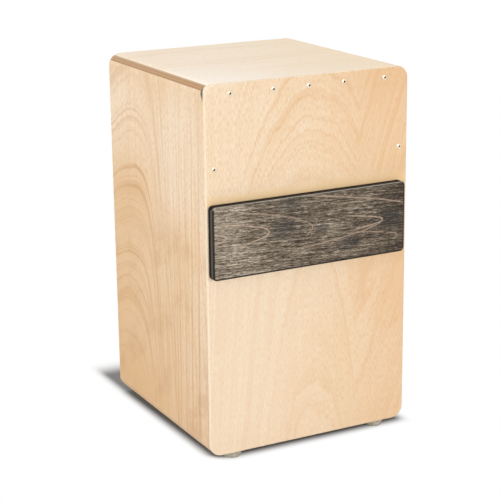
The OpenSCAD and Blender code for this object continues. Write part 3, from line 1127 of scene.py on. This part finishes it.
def seen_directly(tree):
    """1 for what the camera sees, straight or by a mirror or glass, and 0 for light on a surface."""
    path = tree.nodes.new("ShaderNodeLightPath")
    total = path.outputs["Is Camera Ray"]
    for name in ("Is Glossy Ray", "Is Transmission Ray"):
        most = tree.nodes.new("ShaderNodeMath")
        most.operation = "MAXIMUM"
        tree.links.new(total, most.inputs[0])
        tree.links.new(path.outputs[name], most.inputs[1])
        total = most.outputs[0]
    return total


def floor_shadow(g):
    """1 under the body, fading to 0 beyond each of its sides and beyond its front left corner."""
    low = box_mm("striking_plate")[0]
    high = box_mm("seat_panel")[1]
    drawn_in = g.math("MAXIMUM", SHADOW_LEAN_FROM - g.y, 0.0) * SHADOW_LEAN - SHADOW_LEFT_OUT
    outward = {
        "left": low.x - g.x + drawn_in,
        "right": g.x - high.x,
        "front": low.y - g.y,
        "back": g.y - high.y,
        "corner": low.x - g.x + low.y - g.y,
    }
    shadow = 1.0
    for side, (near, far) in SHADOW_FADES.items():
        shadow = g.step(outward[side], far, near) * shadow
    return shadow


def floor_material():
    """Matt white with the shadow under and behind the object. It is plain white further out.

    From below it is clear.
    """
    g = Graph("floor")
    links = g.tree.links
    g.shader.inputs["Roughness"].default_value = 1.0
    g.shader.inputs["Specular IOR Level"].default_value = 0.0
    direct = Value(g, seen_directly(g.tree))
    shadow = floor_shadow(g)
    level = (1.0 - shadow * SHADOW_DEPTH) * (direct * (1.0 - FLOOR_GREY) + FLOOR_GREY)
    g.feed(g.shader.inputs["Base Color"], level)
    white = g.add("Emission")
    fade = g.add("MixShader")
    g.feed(fade.inputs[0], (1.0 - shadow) * direct)
    links.new(g.shader.outputs[0], fade.inputs[1])
    links.new(white.outputs[0], fade.inputs[2])
    clear = g.add("BsdfTransparent")
    below = g.add("MixShader")
    links.new(g.add("NewGeometry").outputs["Backfacing"], below.inputs[0])
    links.new(fade.outputs[0], below.inputs[1])
    links.new(clear.outputs[0], below.inputs[2])
    links.new(below.outputs[0], g.tree.nodes["Material Output"].inputs["Surface"])
    return g.material


def build_floor():
    """A plain flat floor under the object."""
    shape = bmesh.new()
    bmesh.ops.create_grid(shape, x_segments=1, y_segments=1, size=FLOOR_HALF)
    mesh = bpy.data.meshes.new("floor")
    shape.to_mesh(mesh)
    shape.free()
    floor = bpy.data.objects.new("floor", mesh)
    bpy.context.scene.collection.objects.link(floor)
    floor.data.materials.append(floor_material())


def build_world():
    """White to look at, and soft even light on the surfaces."""
    world = bpy.data.worlds.new("studio")
    bpy.context.scene.world = world
    world.use_nodes = True
    tree = world.node_tree
    light = tree.nodes["Background"]
    light.inputs["Color"].default_value = (1.0, 1.0, 1.0, 1.0)
    light.inputs["Strength"].default_value = WORLD_LIGHT
    white = tree.nodes.new("ShaderNodeBackground")
    white.inputs["Color"].default_value = (1.0, 1.0, 1.0, 1.0)
    white.inputs["Strength"].default_value = 1.0
    both = tree.nodes.new("ShaderNodeMixShader")
    tree.links.new(seen_directly(tree), both.inputs[0])
    tree.links.new(light.outputs[0], both.inputs[1])
    tree.links.new(white.outputs[0], both.inputs[2])
    tree.links.new(both.outputs[0], tree.nodes["World Output"].inputs["Surface"])


def add_softbox(name, place, size, watts):
    """A square area light that points at the object."""
    lamp = bpy.data.lights.new(name, "AREA")
    lamp.energy = watts
    lamp.size = size
    piece = bpy.data.objects.new(name, lamp)
    bpy.context.scene.collection.objects.link(piece)
    piece.location = place
    piece.rotation_euler = (Vector(LIGHT_TARGET) - Vector(place)).to_track_quat("-Z", "Y").to_euler()


def build_camera():
    """The photograph's view of the object."""
    azimuth = math.radians(CAMERA_AZIMUTH)
    elevation = math.radians(CAMERA_ELEVATION)
    level = math.cos(elevation)
    back = Vector((math.sin(azimuth) * level, -math.cos(azimuth) * level, math.sin(elevation)))
    roll = Matrix.Rotation(math.radians(CAMERA_ROLL), 3, back)
    right = roll @ (-back).cross(Vector((0.0, 0.0, 1.0))).normalized()
    up = back.cross(right)
    turn = Matrix((right, up, back)).transposed().to_4x4()
    lens = bpy.data.cameras.new("photo_view")
    lens.sensor_width = SENSOR
    lens.lens = FOCAL_PIXELS / PHOTO_SIDE * SENSOR
    camera = bpy.data.objects.new("photo_view", lens)
    bpy.context.scene.collection.objects.link(camera)
    camera.matrix_world = Matrix.Translation(CAMERA_PLACE) @ turn
    bpy.context.scene.camera = camera


build_panels()
build_plate()
build_battens()
build_feet()
build_snare()
build_rattle()
build_tape()
build_floor()
build_world()
for softbox_name, softbox in SOFTBOXES.items():
    add_softbox(softbox_name, **softbox)
build_camera()
bpy.context.scene.view_settings.view_transform = "Standard"
